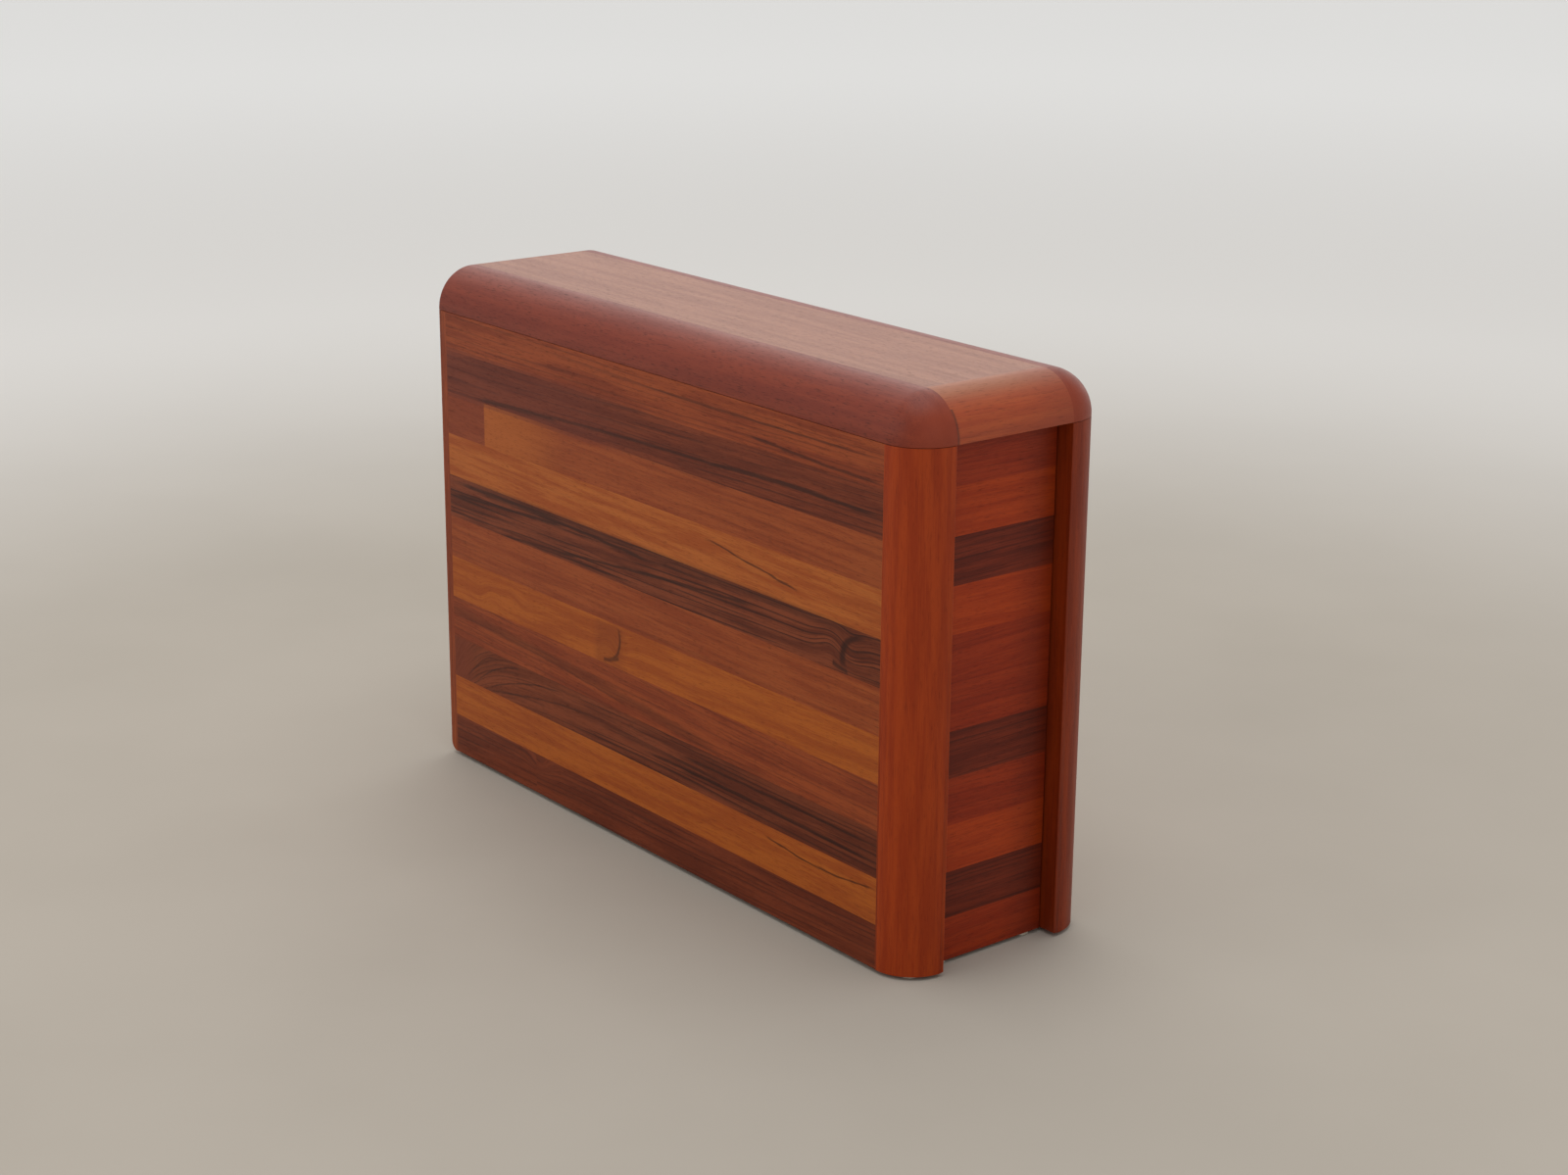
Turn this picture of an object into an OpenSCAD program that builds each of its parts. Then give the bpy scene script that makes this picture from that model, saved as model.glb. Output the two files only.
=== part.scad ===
// Sewing table: a slim free-standing block of solid teak staves.
// A narrow carcass stands under a thick top, and a deep door closes each long side.
// Both doors hang on continuous hinges at the flat left end. Their round posts overhang
// the recessed right end, which is what the hand pulls on.
// Frame: origin on the floor under the middle, +X to the grip end, -Y to the front, +Z up.

/* [Body] */
// Length of the wooden body, without the hinge barrels
body_l = 641; // [480:1:900]
// Depth over both doors
body_d = 192; // [165:1:280]
// Height from the floor to the top
body_h = 450; // [360:1:620]
// Radius of the big round edges
edge_r = 35; // [15:1:45]
// Height of the wood above the floor
floor_gap = 3; // [2:0.5:8]

/* [Top] */
// Square edge left under the round of the top
top_square = 1; // [0.5:0.5:12]
// Flat width of the end rail before its round
rail_flat = 0.5; // [0.5:0.5:40]

/* [Doors] */
// Square part of a door post behind its round
post_square = 3.5; // [1:0.5:15]
// Thickness of the staved panels in the doors
panel_t = 20; // [12:1:22]
// Width of the stile on the hinge side
stile_w = 12; // [12:1:30]
// Height of the inner rails along the top and bottom of a door
door_rail_h = 12; // [10:1:25]
// Gap between a door and the carcass
door_gap = 1.6; // [1.6:0.1:3]
// Gap between a door and the top
top_gap = 1; // [0.5:0.1:3]
// Radius of the eased edge on the hinge stile
stile_ease = 2.5; // [1:0.5:5]
// Radius of the lower outer corner of the hinge stile
stile_corner = 5; // [2:0.5:10]
// Heights of the ledges above the bottom of a door
ledge_z = [45, 215]; // [30:1:300]
// Thickness of a ledge
ledge_t = 9; // [6:0.5:14]
// Height of a retaining rod above its ledge
rod_above = 50; // [30:1:70]
// Diameter of a retaining rod
rod_d = 8; // [5:0.5:9]
// Distance of a rod from the open side of its door
rod_in = 1.5; // [1:0.5:2]
// Depth of the blind hole for the end of a rod
rod_sink = 4; // [3:0.5:4]

/* [Staves] */
// Height of a full stave
stave_h = 37.8; // [30:0.1:60]
// Height of the lowest stave of a door, after trimming
door_first = 36.8; // [20:0.1:60]
// Height of the lowest stave of an end board, after trimming
end_first = 34.8; // [20:0.1:60]
// Stave tones of the front door, from the bottom up
front_tones = ["dark", "amber", "dark", "red", "amber", "red", "dark", "amber", "amber", "dark", "red"];
// Stave tones of the rear door, from the bottom up
rear_tones = ["red", "dark", "amber", "red", "dark", "red", "amber", "dark", "red", "amber", "red"];
// Stave tones of the right end, from the bottom up
right_tones = ["red", "dark", "amber", "red", "dark", "red", "red", "amber", "dark", "amber", "red"];
// Stave tones of the left end, from the bottom up
left_tones = ["amber", "red", "dark", "red", "amber", "red", "dark", "red", "red", "dark", "amber"];
// Butt joints in the front door's staves, as [stave, distance from the stile]
front_joints = [[0, 131], [8, 59]];
// Butt joints in the rear door's staves, as [stave, distance from the stile]
rear_joints = [[3, 410], [7, 150]];

/* [Carcass] */
// Depth of the finger recess at the right end
recess = 15.5; // [10:0.5:30]
// Thickness of the end boards
end_t = 18; // [14:1:24]
// Thickness of the bottom board
bottom_t = 16; // [12:1:22]
// Height of the bottom board above the lower edge of the ends
bottom_lift = 9; // [0:1:30]
// Thickness of the middle shelf
shelf_t = 12; // [9:1:18]
// Height of the shelf's underside above the floor
shelf_z = 238; // [150:1:260]
// Number of dividers under the shelf
divider_n = 2; // [1:1:4]
// Thickness of a divider
divider_t = 10; // [8:1:16]
// Depth of the grooves that hold the boards
groove = 6; // [3:0.5:8]
// Clearance round a board or dowel in its groove or hole
fit = 0.1; // [0.05:0.05:0.3]
// Diameter of the joining dowels
dowel_d = 8; // [6:1:10]
// Length of a joining dowel
dowel_l = 40; // [24:1:44]
// Dowels along each long rail of the top
edge_dowels = 5; // [3:1:8]

/* [Thread board] */
// Thickness of the board that carries the thread pins
spool_t = 9; // [6:1:14]
// Diameter of a thread pin
spool_d = 6; // [4:0.5:8]
// Free length of a thread pin on each side
spool_out = 40; // [25:1:42]
// Distance between rows of thread pins
spool_row_gap = 46; // [35:1:60]
// Distance between thread pins in a row
spool_col_gap = 65; // [45:1:90]

/* [Hinges] */
// Diameter of the hinge barrel
barrel_d = 4.8; // [4:0.2:6]
// Diameter of the hinge pin
hinge_pin_d = 2.4; // [2:0.1:2.8]
// Radial play of the pin in the knuckles
hinge_play = 0.05; // [0.02:0.01:0.1]
// Length of one knuckle
knuckle_l = 20; // [12:1:40]
// Gap between two knuckles
knuckle_gap = 0.2; // [0.1:0.1:0.5]
// Thickness of a hinge plate
plate_t = 0.7; // [0.5:0.1:0.7]
// Width of a hinge plate
plate_w = 11; // [8:0.5:14]
// Number of screws in a plate
plate_screws = 7; // [3:1:10]

/* [Fittings] */
// Diameter of a glide
glide_d = 14; // [10:1:16]
// Diameter of the nail of a glide
nail_d = 2.4; // [2:0.2:4]
// Length of the nail of a glide
nail_l = 14; // [8:1:20]
// Distance of a carcass glide's middle from the edge of its end board
glide_in = 12; // [8:1:20]
// Length of a magnetic catch
catch_l = 46; // [36:1:60]
// Height of a magnetic catch
catch_h = 13; // [10:0.5:16]
// Depth of a magnetic catch
catch_dp = 15; // [12:0.5:20]
// Thickness of a strike plate
strike_t = 1; // [0.8:0.1:1.2]

/* [Hidden] */
$fn = 64;

// Colours
dark_teak = "#4a2417";
red_teak = "#7c3a20";
amber_teak = "#a05a2c";
top_teak = "#7a4230";
post_teak = "#8a3c1c";
pale_wood = "#c8a070";
brass = "#b5904a";
steel = "#a9a9a6";
brown_plastic = "#3a2a20";
nylon = "#d8d2c4";

// Places along X
barrel_r = barrel_d / 2;
barrel_clear = 0.3;
x_left = (barrel_d + barrel_clear - body_l) / 2;
x_right = x_left + body_l;
axis_x = x_left - barrel_clear - barrel_r;
post_w = edge_r + rail_flat;
x_post = x_right - post_w;
x_end_out = x_right - recess;
x_end_in = x_end_out - end_t;
x_bay = x_left + end_t;
bay_l = x_end_in - x_bay;

// Places along Y, for the front half; the rear half mirrors it
door_t = edge_r + post_square;
y_front = -body_d / 2;
y_panel = y_front + panel_t;
y_door = y_front + door_t;
y_core = y_door + door_gap;
core_d = -2 * y_core;
axis_y = (y_door + y_core) / 2;

// Places along Z
top_t = edge_r + top_square;
z_top = body_h - top_t;
z_door = z_top - top_gap;
door_h = z_door - floor_gap;
end_h = z_top - floor_gap;
z_bottom = floor_gap + bottom_lift + bottom_t;
z_shelf = shelf_z + shelf_t;
panel_l = x_post - x_left - stile_w;

// Hinge: whole knuckles, an odd number of them, centred on the door
knuckle_n = 2 * floor((door_h / knuckle_l - 1) / 2) + 1;
hinge_h = knuckle_n * knuckle_l;
hinge_z = floor_gap + (door_h - hinge_h) / 2;
screw_head_d = 5;
screw_head_h = 1.5;
screw_d = 2.6;
screw_l = 12;
plate_clear = 0.3;
screw_x = x_left + plate_clear + plate_w / 2;

// Catch: hangs under the top beside the grip end
catch_x = x_post - catch_l - 12;
catch_screw_l = 24;
catch_screw_in = 6;
catch_head_in = 4;
magnet_in = 13;
magnet_out = 0.3;
strike_l = catch_l - 10;
strike_x = catch_x + (catch_l - strike_l) / 2;
strike_h = door_rail_h - 2;
strike_z = z_door - door_rail_h / 2;
magnet_h = 6;

// Dowels: how far they reach into the top and into each side of a rail's joint
dowel_up = min(dowel_l / 2, top_t * 0.5);
rail_dowel_half = min(dowel_l / 2, edge_r * 0.55);
edge_dowel_in = 40;
carcass_dowel_in = 18;
carcass_dowel_y = core_d / 2 - carcass_dowel_in;

// Staves: full ones between a trimmed first one and a last one that takes what is left
function stave_count(height, first) = 1 + round((height - first) / stave_h);
function stave_low(i, first) = i == 0 ? 0 : first + (i - 1) * stave_h;
function stave_high(i, first, height) = i == stave_count(height, first) - 1 ? height : first + i * stave_h;
function tone_of(tones, i) = tones[i % len(tones)];
function cuts_of(joints, i) = [for (j = joints) if (j[0] == i) j[1]];

// ---- shapes that repeat ----

module at_rear() { mirror([0, 1, 0]) children(); }

// A quarter disc in the first quadrant
module quarter(r) {
    intersection() {
        circle(r, $fn = 128);
        square(r);
    }
}

// A wood screw with a countersunk head: the head's face is at z = 0 and it points down
module screw(grow = 0, length = screw_l) {
    translate([0, 0, -screw_head_h])
        cylinder(h = screw_head_h, d1 = screw_d + 2 * grow, d2 = screw_head_d + 2 * grow, $fn = 32);
    translate([0, 0, -length - grow])
        cylinder(h = length - screw_head_h + 2 * grow, d = screw_d + 2 * grow, $fn = 32);
}

// Staves of one tone in a door panel, which lies in the XZ plane, from the origin up
module staves_x(length, thick, height, tones, tone, joints) {
    for (i = [0 : stave_count(height, door_first) - 1]) {
        if (tone_of(tones, i) == tone) {
            low = stave_low(i, door_first);
            cuts = concat([0], cuts_of(joints, i), [length]);
            for (k = [0 : len(cuts) - 2])
                translate([cuts[k], 0, low])
                    cube([cuts[k + 1] - cuts[k], thick, stave_high(i, door_first, height) - low]);
        }
    }
}

// Staves of one tone in an end board, which lies in the YZ plane
module staves_y(thick, width, height, tones, tone) {
    for (i = [0 : stave_count(height, end_first) - 1]) {
        if (tone_of(tones, i) == tone) {
            low = stave_low(i, end_first);
            translate([0, 0, low])
                cube([thick, width, stave_high(i, end_first, height) - low]);
        }
    }
}

function tone_colour(tone) = tone == "dark" ? dark_teak : tone == "red" ? red_teak : amber_teak;

// ---- top ----

// Round outer edge of a rail: its flat side is at 0 and its underside at 0
module round_edge() {
    square([edge_r, top_square]);
    translate([0, top_square]) quarter(edge_r);
}

// Places of the dowels that join the rails to the board, each along the local Z
module rail_dowel_places() {
    mid = z_top + top_t / 2;
    reach = x_post - x_left - 2 * edge_dowel_in;
    for (s = [-1, 1], i = [0 : edge_dowels - 1])
        translate([x_left + edge_dowel_in + i * reach / (edge_dowels - 1), s * -y_door, mid])
            rotate([90, 0, 0]) children();
    for (s = [-1, 1])
        translate([x_post, s * -y_door / 2, mid]) rotate([0, 90, 0]) children();
}

// Places of the dowels that join the ends to the top: two in each end board
module carcass_dowel_places() {
    for (x = [x_left + end_t / 2, x_end_in + end_t / 2], s = [-1, 1])
        translate([x, s * carcass_dowel_y, z_top]) children();
}

module dowel(down, up, grow = 0) {
    translate([0, 0, -down - grow])
        cylinder(h = down + up + 2 * grow, d = dowel_d + 2 * grow, $fn = 32);
}

module top_board() {
    color(top_teak)
    difference() {
        translate([x_left, y_door, z_top])
            cube([x_post - x_left, -2 * y_door, top_t]);
        rail_dowel_places() dowel(rail_dowel_half, rail_dowel_half, fit);
        carcass_dowel_places() dowel(dowel_l - dowel_up, dowel_up, fit);
        for (s = [-1, 1], k = [0, 1]) catch_screw_place(s, k) screw(fit, catch_screw_l);
    }
}

// A long rail: straight to the grip end, then round the corner in a ball
module top_long_rail() {
    color(top_teak)
    difference() {
        union() {
            translate([x_left, 0, z_top])
                rotate([90, 0, 90])
                    linear_extrude(x_right - edge_r - x_left) {
                        translate([y_front + edge_r, 0]) square([post_square, top_t]);
                        translate([y_front + edge_r, 0]) mirror([1, 0]) round_edge();
                    }
            translate([x_right - edge_r, y_door, z_top])
                rotate([90, 0, 0])
                    linear_extrude(post_square) round_edge();
            translate([x_right - edge_r, y_front + edge_r, z_top])
                rotate([0, 0, -90])
                    rotate_extrude(angle = 90, $fn = 128) round_edge();
        }
        rail_dowel_places() dowel(rail_dowel_half, rail_dowel_half, fit);
    }
}

module top_end_rail() {
    color(post_teak)
    difference() {
        translate([x_post, -y_door, z_top])
            rotate([90, 0, 0])
                linear_extrude(-2 * y_door) {
                    square([rail_flat, top_t]);
                    translate([rail_flat, 0]) round_edge();
                }
        rail_dowel_places() dowel(rail_dowel_half, rail_dowel_half, fit);
        carcass_dowel_places() dowel(dowel_l - dowel_up, dowel_up, fit);
    }
}

module top_rail_dowels() {
    color(pale_wood) rail_dowel_places() dowel(rail_dowel_half, rail_dowel_half);
}

module carcass_dowels() {
    color(pale_wood) carcass_dowel_places() dowel(dowel_l - dowel_up, dowel_up);
}

// ---- carcass ----

// Everything that is let into the end boards
module end_cuts() {
    carcass_dowel_places() dowel(dowel_l - dowel_up, dowel_up, fit);
    for (b = [[z_bottom - bottom_t, bottom_t], [shelf_z, shelf_t]])
        translate([x_bay - groove - fit, y_core - 1, b[0] - fit])
            cube([bay_l + 2 * (groove + fit), core_d + 2, b[1] + 2 * fit]);
    translate([x_bay - groove - fit, -spool_t / 2 - fit, shelf_z])
        cube([bay_l + 2 * (groove + fit), spool_t + 2 * fit, z_top - shelf_z + 1]);
    for (x = [x_left + end_t / 2, x_end_in + end_t / 2])
        core_glide_places(x) glide_nail(fit);
}

module left_end(tone) {
    color(tone_colour(tone))
    difference() {
        translate([x_left, y_core, floor_gap])
            staves_y(end_t, core_d, end_h, left_tones, tone);
        end_cuts();
        hinge_screw_places(-1) screw(fit);
        at_rear() hinge_screw_places(-1) screw(fit);
    }
}

module right_end(tone) {
    color(tone_colour(tone))
    difference() {
        translate([x_end_in, y_core, floor_gap])
            staves_y(end_t, core_d, end_h, right_tones, tone);
        end_cuts();
    }
}

module bottom_board() {
    color(amber_teak)
    difference() {
        translate([x_bay - groove, y_core, z_bottom - bottom_t])
            cube([bay_l + 2 * groove, core_d, bottom_t]);
        divider_places() divider(fit);
    }
}

module middle_shelf() {
    color(amber_teak)
    difference() {
        translate([x_bay - groove, y_core, shelf_z])
            cube([bay_l + 2 * groove, core_d, shelf_t]);
        divider_places() divider(fit);
    }
}

module divider_places() {
    pitch = (bay_l - divider_n * divider_t) / (divider_n + 1) + divider_t;
    for (i = [1 : divider_n])
        translate([x_bay + i * pitch - divider_t, 0, 0]) children();
}

module divider(grow = 0) {
    sink = groove / 2;
    translate([-grow, y_core - (grow > 0 ? 1 : 0), z_bottom - sink - grow])
        cube([divider_t + 2 * grow, core_d + (grow > 0 ? 2 : 0), shelf_z - z_bottom + 2 * (sink + grow)]);
}

module lower_dividers() {
    color(red_teak) divider_places() divider();
}

// As many rows and columns of pins as the bay takes, centred in it
module spool_places() {
    rows = floor((z_top - z_shelf) / spool_row_gap);
    cols = floor(bay_l / spool_col_gap);
    for (c = [0 : cols - 1], r = [0 : rows - 1])
        translate([
            x_bay + bay_l / 2 + (c - (cols - 1) / 2) * spool_col_gap,
            0,
            (z_shelf + z_top) / 2 + (r - (rows - 1) / 2) * spool_row_gap
        ])
            rotate([90, 0, 0]) children();
}

module spool_board() {
    color(red_teak)
    difference() {
        translate([x_bay - groove, -spool_t / 2, z_shelf])
            cube([bay_l + 2 * groove, spool_t, z_top - z_shelf]);
        spool_places() cylinder(h = spool_t + 2, d = spool_d + 2 * fit, center = true, $fn = 32);
    }
}

module spool_pins() {
    color(pale_wood)
        spool_places()
            cylinder(h = spool_t + 2 * spool_out, d = spool_d, center = true, $fn = 32);
}

// ---- glides ----

module glide_nail(grow = 0) {
    translate([0, 0, floor_gap])
        cylinder(h = nail_l + grow, d = nail_d + 2 * grow, $fn = 24);
}

module glide() {
    cylinder(h = floor_gap, d = glide_d, $fn = 48);
    glide_nail();
}

module core_glide_places(x) {
    for (s = [-1, 1])
        translate([x, s * (core_d / 2 - glide_in), 0]) children();
}

module door_glide_place() {
    translate([x_right - post_w / 2, y_door - door_t / 2, 0]) children();
}

module carcass_glides() {
    color(nylon)
    for (x = [x_left + end_t / 2, x_end_in + end_t / 2])
        core_glide_places(x) glide();
}

// ---- hinges ----

// Screws of a hinge plate, all pointing away from the gap: side -1 is the carcass, 1 the door
module hinge_screw_places(side) {
    pitch = hinge_h / plate_screws;
    y = side < 0 ? y_core - plate_t : y_door + plate_t;
    for (i = [0 : plate_screws - 1])
        translate([screw_x, y, hinge_z + (i + 0.5) * pitch])
            rotate([side < 0 ? 90 : -90, 0, 0]) children();
}

// One half of the hinge: odd or even knuckles and the plate that they carry
module hinge_leaf(side) {
    first = side < 0 ? 0 : 1;
    y = side < 0 ? y_core - plate_t : y_door;
    color(brass)
    difference() {
        union() {
            translate([x_left + plate_clear, y, hinge_z])
                cube([plate_w, plate_t, hinge_h]);
            for (i = [first : 2 : knuckle_n - 1]) {
                z = hinge_z + i * knuckle_l + knuckle_gap / 2;
                h = knuckle_l - knuckle_gap;
                translate([axis_x, axis_y, z]) cylinder(h = h, d = barrel_d, $fn = 48);
                translate([axis_x, y, z]) cube([x_left + plate_clear + 1 - axis_x, plate_t, h]);
            }
        }
        translate([axis_x, axis_y, hinge_z - 1])
            cylinder(h = hinge_h + 2, d = hinge_pin_d + 2 * hinge_play, $fn = 48);
        hinge_screw_places(side) screw(fit);
    }
}

module hinge_pin() {
    color(steel)
        translate([axis_x, axis_y, hinge_z])
            cylinder(h = hinge_h, d = hinge_pin_d, $fn = 48);
}

module hinge_screws(side) {
    color(brass) hinge_screw_places(side) screw();
}

// ---- magnetic catches ----

module catch_screw_place(s, k) {
    translate([catch_x + (k == 0 ? catch_screw_in : catch_l - catch_screw_in), s * (-y_core - catch_dp / 2), z_top - catch_h + catch_head_in])
        rotate([180, 0, 0]) children();
}

module catch_magnet(grow = 0) {
    translate([catch_x + magnet_in - grow, y_core - magnet_out, z_top - (catch_h + magnet_h) / 2 - grow])
        cube([catch_l - 2 * (magnet_in - grow), catch_dp * 0.7 + grow, magnet_h + 2 * grow]);
}

module catch_housing() {
    difference() {
        translate([catch_x, y_core, z_top - catch_h]) cube([catch_l, catch_dp, catch_h]);
        catch_magnet(fit);
        for (k = [0, 1]) {
            catch_screw_place(-1, k) screw(fit, catch_screw_l);
            catch_screw_place(-1, k) cylinder(h = catch_h, d = screw_head_d + 1, $fn = 32);
        }
    }
}

module catch_housings() {
    color(brown_plastic) {
        catch_housing();
        at_rear() catch_housing();
    }
}

module catch_magnets() {
    color(steel) {
        catch_magnet();
        at_rear() catch_magnet();
    }
}

module catch_screws() {
    color(brass)
        for (s = [-1, 1], k = [0, 1]) catch_screw_place(s, k) screw(0, catch_screw_l);
}

module strike_screw_places() {
    for (dx = [catch_screw_in, strike_l - catch_screw_in])
        translate([strike_x + dx, y_door + strike_t, strike_z])
            rotate([-90, 0, 0]) children();
}

module strike_plate() {
    color(steel)
    difference() {
        translate([strike_x, y_door, strike_z - strike_h / 2])
            cube([strike_l, strike_t, strike_h]);
        strike_screw_places() screw(fit);
    }
}

module strike_screws() {
    color(brass) strike_screw_places() screw();
}

// ---- doors, drawn for the front ----

module door_staves(tones, tone, joints) {
    color(tone_colour(tone))
        translate([x_left + stile_w, y_front, floor_gap])
            staves_x(panel_l, panel_t, door_h, tones, tone, joints);
}

module rod_places() {
    for (z = ledge_z)
        translate([x_left + stile_w - rod_sink, y_door - rod_d / 2 - rod_in, floor_gap + z + ledge_t + rod_above])
            rotate([0, 90, 0]) children();
}

module rod(grow = 0) {
    translate([0, 0, -grow])
        cylinder(h = panel_l + 2 * (rod_sink + grow), d = rod_d + 2 * grow, $fn = 32);
}

module door_rods() {
    color(pale_wood) rod_places() rod();
}

module door_post() {
    color(post_teak)
    difference() {
        translate([x_post, y_door, floor_gap])
            mirror([0, 1, 0])
                linear_extrude(door_h) {
                    square([post_w, post_square]);
                    translate([0, post_square]) square([rail_flat, edge_r]);
                    translate([rail_flat, post_square]) quarter(edge_r);
                }
        rod_places() rod(fit);
        door_glide_place() glide_nail(fit);
    }
}

module door_stile() {
    color(post_teak)
    difference() {
        intersection() {
            translate([x_left, y_front, floor_gap])
                linear_extrude(door_h) eased_corner(stile_w, door_t, stile_ease);
            translate([x_left, y_door, floor_gap])
                rotate([90, 0, 0])
                    linear_extrude(door_t) eased_corner(stile_w, door_h, stile_corner);
        }
        rod_places() rod(fit);
        hinge_screw_places(1) screw(fit);
    }
}

// A rectangle with its corner at the origin rounded
module eased_corner(w, h, r) {
    translate([r, 0]) square([w - r, h]);
    translate([0, r]) square([r, h - r]);
    translate([r, r]) rotate(180) quarter(r);
}

module door_rail(z) {
    color(red_teak)
        translate([x_left + stile_w, y_panel, z])
            cube([panel_l, door_t - panel_t, door_rail_h]);
}

module door_top_rail() {
    difference() {
        door_rail(z_door - door_rail_h);
        strike_screw_places() screw(fit);
    }
}

module door_bottom_rail() { door_rail(floor_gap); }

module door_ledges() {
    color(amber_teak)
    for (z = ledge_z)
        translate([x_left + stile_w, y_panel, floor_gap + z])
            cube([panel_l, door_t - panel_t, ledge_t]);
}

module door_glide() {
    color(nylon) door_glide_place() glide();
}

// ---- drawing ----

top_board();
top_long_rail();  // top_front_rail
at_rear() top_long_rail();  // top_rear_rail
top_end_rail();
top_rail_dowels();
carcass_dowels();
left_end("red");  // left_end_red_staves
left_end("amber");  // left_end_amber_staves
left_end("dark");  // left_end_dark_staves
right_end("red");  // right_end_red_staves
right_end("amber");  // right_end_amber_staves
right_end("dark");  // right_end_dark_staves
bottom_board();
middle_shelf();
lower_dividers();
spool_board();
spool_pins();
carcass_glides();
hinge_leaf(-1);  // front_hinge_frame_leaf
hinge_pin();  // front_hinge_pin
hinge_screws(-1);  // front_hinge_frame_screws
at_rear() hinge_leaf(-1);  // rear_hinge_frame_leaf
at_rear() hinge_pin();  // rear_hinge_pin
at_rear() hinge_screws(-1);  // rear_hinge_frame_screws
catch_housings();
catch_magnets();
catch_screws();
door_staves(front_tones, "red", front_joints);  // front_door_red_staves
door_staves(front_tones, "amber", front_joints);  // front_door_amber_staves
door_staves(front_tones, "dark", front_joints);  // front_door_dark_staves
door_post();  // front_door_post
door_stile();  // front_door_stile
door_top_rail();  // front_door_top_rail
door_bottom_rail();  // front_door_bottom_rail
door_ledges();  // front_door_ledges
door_rods();  // front_door_rods
door_glide();  // front_door_glide
hinge_leaf(1);  // front_hinge_door_leaf
hinge_screws(1);  // front_hinge_door_screws
strike_plate();  // front_strike_plate
strike_screws();  // front_strike_screws
at_rear() door_staves(rear_tones, "red", rear_joints);  // rear_door_red_staves
at_rear() door_staves(rear_tones, "amber", rear_joints);  // rear_door_amber_staves
at_rear() door_staves(rear_tones, "dark", rear_joints);  // rear_door_dark_staves
at_rear() door_post();  // rear_door_post
at_rear() door_stile();  // rear_door_stile
at_rear() door_top_rail();  // rear_door_top_rail
at_rear() door_bottom_rail();  // rear_door_bottom_rail
at_rear() door_ledges();  // rear_door_ledges
at_rear() door_rods();  // rear_door_rods
at_rear() door_glide();  // rear_door_glide
at_rear() hinge_leaf(1);  // rear_hinge_door_leaf
at_rear() hinge_screws(1);  // rear_hinge_door_screws
at_rear() strike_plate();  // rear_strike_plate
at_rear() strike_screws();  // rear_strike_screws
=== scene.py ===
# %% [markdown]
# # A sewing table in solid teak
# The table is a slim closed block. Eleven teak staves make up each long face, a thick top with
# big round edges lies over them, and the two faces are doors that hang at the flat left end.
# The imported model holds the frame: every part has its place and its size there. This lesson adds
# what a cabinetmaker's finish adds, which is the run of the wood, the eased edges, the oil and
# the brass. The wood is one family of materials, made by a few short functions.

import math
from collections import namedtuple

import bmesh
import bpy
from mathutils import Matrix, Vector


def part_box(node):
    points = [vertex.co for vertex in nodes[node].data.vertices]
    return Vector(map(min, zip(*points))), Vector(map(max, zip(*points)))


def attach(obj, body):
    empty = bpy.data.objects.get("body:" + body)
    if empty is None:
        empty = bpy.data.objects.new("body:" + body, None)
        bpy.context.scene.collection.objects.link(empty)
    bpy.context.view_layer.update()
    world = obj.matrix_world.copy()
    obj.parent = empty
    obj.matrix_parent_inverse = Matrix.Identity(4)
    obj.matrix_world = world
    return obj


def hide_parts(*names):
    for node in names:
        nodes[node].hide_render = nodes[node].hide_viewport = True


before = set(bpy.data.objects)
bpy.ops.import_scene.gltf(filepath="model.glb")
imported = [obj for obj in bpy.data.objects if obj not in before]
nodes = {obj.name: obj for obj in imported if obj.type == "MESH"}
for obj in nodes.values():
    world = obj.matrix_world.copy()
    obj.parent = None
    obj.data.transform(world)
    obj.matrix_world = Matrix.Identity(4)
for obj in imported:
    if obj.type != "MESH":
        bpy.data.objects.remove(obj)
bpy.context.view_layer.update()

# %% [markdown]
# ## Measures
# Every place comes from the frame. A node's box gives its lowest and highest corner, so the post
# of a door tells where the round edge starts, and the top board tells how thick the top is. Only
# the run of the staves isn't in any box: a stave is 37.8 mm high, and the lowest one of a board
# is trimmed. The doors stop a hair below the top, which is the fine line that runs all round.
# Four roundings are used: one that a hand can feel, one that only takes the sharpness off a seam,
# one for the arris at the flat end, and one for the toe of a door.

# %% Measures taken from the frame, in metres
MM = 0.001
post_low, post_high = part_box("front_door_post")
stile_low, stile_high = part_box("front_door_stile")
board_low, board_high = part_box("top_board")
inner_low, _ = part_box("front_door_top_rail")

x_left, x_right = stile_low.x, post_high.x
x_post, x_stile = post_low.x, stile_high.x
y_front, y_door = post_low.y, post_high.y
y_panel = inner_low.y
z_floor = post_low.z
z_top, z_crown = board_low.z, board_high.z
TOP_SQUARE = 1 * MM
edge_r = z_crown - z_top - TOP_SQUARE
x_round, y_round = x_right - edge_r, y_front + edge_r
HEAD_GAP = 0.35 * MM
z_head = z_top - HEAD_GAP
EASE, SEAM, END_EASE, TOE = 0.8 * MM, 0.25 * MM, 2.8 * MM, 8 * MM
STAVE = 37.8
DOOR_FIRST, END_FIRST = 36.8, 34.8
print("round edges of radius", round(edge_r / MM, 1), "mm, staves of", STAVE, "mm")

# %% [markdown]
# ## Camera
# The camera comes first, because every later choice is judged through it. It stands at about
# waist height, looks down at the table by 17 degrees and sees the front and the grip end.
# Three turns place it: a heading about the vertical, a tilt, and a very small roll. They are
# multiplied as matrices, because three Euler angles would mix the roll with the heading.

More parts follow.
